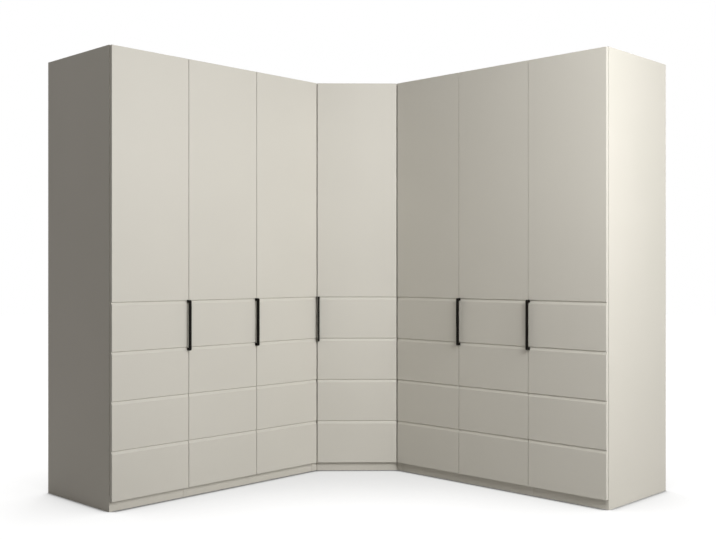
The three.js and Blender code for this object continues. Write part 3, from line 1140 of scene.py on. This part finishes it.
@dataclass(frozen=True)
class StudioFloor:
    """A floor that looks white and keeps the wardrobe's soft shadow, partly cast by the lamps and partly
    painted. Lengths are metres.

    It lights the wardrobe as vinyl of its own colour does. To the camera and in gloss it is
    a darker vinyl, which keeps the lamps' cast shadows, and it also glows, up to white where
    nothing stands near. The glow falls off towards the wardrobe, and once more in the narrow
    gap under its bottom edge: this falloff is painted shade. Tones are pairs of how open the
    floor lies and how strongly it glows there.
    """

    side: float = 40.0
    colour: str = "#bcbbb9"
    seen_colour: str = "#747473"
    # Painted shade: the glow dims within this reach of the wardrobe, by how open the floor lies.
    painted_shade_reach: float = 1.1
    painted_shade_tones: Sequence[tuple[float, float]] = (
        (0.2, 0.56), (0.5, 0.68), (0.62, 0.78), (0.78, 0.88), (1.0, 1.0),
    )
    # Painted contact shadow: the glow dims once more within this reach, in the gap under the bottom edge.
    painted_contact_shadow_reach: float = 0.06
    painted_contact_shadow_tones: Sequence[tuple[float, float]] = ((0.5, 0.12), (0.6, 0.4), (0.7, 0.9), (1.0, 1.0))

    def build(self) -> None:
        """Makes the floor and its vinyl."""
        bpy.ops.mesh.primitive_plane_add(size=self.side, location=(0.0, 0.0, 0.0))
        floor = bpy.context.object
        floor.name = "floor"
        vinyl = bpy.data.materials.new("white_vinyl_floor")
        vinyl.use_nodes = True
        tree = vinyl.node_tree
        tree.nodes.clear()
        lit = add_node(tree, "BsdfDiffuse", {"Color": linear(self.colour)})
        shaded = add_node(tree, "BsdfDiffuse", {"Color": linear(self.seen_colour)})
        # Painted shade: the glow is dimmed where the floor lies less open, near the wardrobe and under its
        # bottom edge.
        shade = self.painted_shade_level(tree, self.painted_shade_reach, self.painted_shade_tones)
        contact = self.painted_shade_level(tree, self.painted_contact_shadow_reach, self.painted_contact_shadow_tones)
        level = add_node(tree, "Math", {"operation": "MULTIPLY"}, {0: shade, 1: contact})
        glow = add_node(tree, "Emission", links={"Color": level.outputs[0]})
        both = add_node(tree, "AddShader", links={0: shaded.outputs[0], 1: glow.outputs[0]})
        shares = {0: background_rays(tree), 1: lit.outputs[0], 2: both.outputs[0]}
        mix = add_node(tree, "MixShader", links=shares)
        add_node(tree, "OutputMaterial", links={"Surface": mix.outputs[0]})
        floor.data.materials.append(vinyl)

    def painted_shade_level(
        self, tree: bpy.types.NodeTree, reach: float, tones: Sequence[tuple[float, float]],
    ) -> bpy.types.NodeSocket:
        """Turns how open the floor lies into a level of painted shade for the floor's glow.

        Args:
            tree: the floor's nodes.
            reach: how far off a thing still shades the floor, in metres.
            tones: pairs of how open the floor lies and its level, in rising order.

        Returns:
            The level, 1 where nothing stands near.
        """
        open_sky = add_node(tree, "AmbientOcclusion", {"Distance": reach})
        ramp = add_node(tree, "ValToRGB", links={"Fac": open_sky.outputs["AO"]})
        set_stops(ramp, [(position, (level, level, level, 1.0)) for position, level in tones])
        return ramp.outputs["Color"]


# The whole


STUDIO = (
    LevelCamera(),
    Surround(),
    Softbox("key_softbox", (2.725, -0.792, 2.452), 57.0),
    Softbox("side_softbox", (5.086, 0.2, 2.181), 100.5),
    Softbox("top_softbox", (1.143, -2.941, 5.083), 21.3),
    Softbox("back_softbox", (-4.3, 2.3, 2.4), 105.0, aim=(-0.6, 0.6, 1.1)),
    StudioFloor(),
)

UNITS = (
    WingUnit("left_end", facing=Facing.LEFT_WING),
    WingUnit("left_pair", facing=Facing.LEFT_WING),
    Unit("corner", (
        "side_left", "side_right", "post_left", "post_right", "bottom", "top", "plinth", "hat_shelf",
    ), backs=("back_left", "back_right")),
    WingUnit("right_pair", (
        "side_left", "side_right", "partition", "bottom", "top", "plinth", "hat_shelf",
        "upper_shelf", "shelf_1", "shelf_2", "shelf_3",
    )),
    WingUnit("right_end"),
)

DOORS = (
    DoorLeaf("left_end_door", "left_end_leaf", "left_end_hinges", Facing.LEFT_WING,
             "left_end_side_left", Carrier.SIDE_BOARD, "left_end_handle"),
    DoorLeaf("left_pair_door_outer", "left_pair_outer_leaf", "left_pair_outer_hinges", Facing.LEFT_WING,
             "left_pair_side_left", Carrier.SIDE_BOARD, "left_pair_handle"),
    DoorLeaf("left_pair_door_inner", "left_pair_inner_leaf", "left_pair_inner_hinges", Facing.LEFT_WING,
             "left_pair_side_right", Carrier.SIDE_BOARD),
    DoorLeaf("corner_door", "corner_leaf", "corner_hinges", Facing.CORNER,
             "corner_post_right", Carrier.CORNER_POST, "corner_handle"),
    DoorLeaf("right_pair_door_inner", "right_pair_inner_leaf", "right_pair_inner_hinges", Facing.RIGHT_WING,
             "right_pair_partition", Carrier.PARTITION),
    DoorLeaf("right_pair_door_outer", "right_pair_outer_leaf", "right_pair_outer_hinges", Facing.RIGHT_WING,
             "right_pair_side_right", Carrier.SIDE_BOARD, "right_pair_handle"),
    DoorLeaf("right_end_door", "right_end_leaf", "right_end_hinges", Facing.RIGHT_WING,
             "right_end_side_right", Carrier.SIDE_BOARD, "right_end_handle"),
)

SHELF_PINS = ShelfPins((
    "right_pair_shelf_1", "right_pair_shelf_2", "right_pair_shelf_3", "right_pair_upper_shelf",
))


def main() -> None:
    """Builds the studio, the units, the doors and the shelf pins."""
    logging.basicConfig(level=logging.INFO, format="%(name)s: %(message)s")
    for part in (*STUDIO, *UNITS, *DOORS, SHELF_PINS):
        part.build()
    bpy.context.scene.view_settings.view_transform = "Standard"


if __name__ == "__main__":
    main()
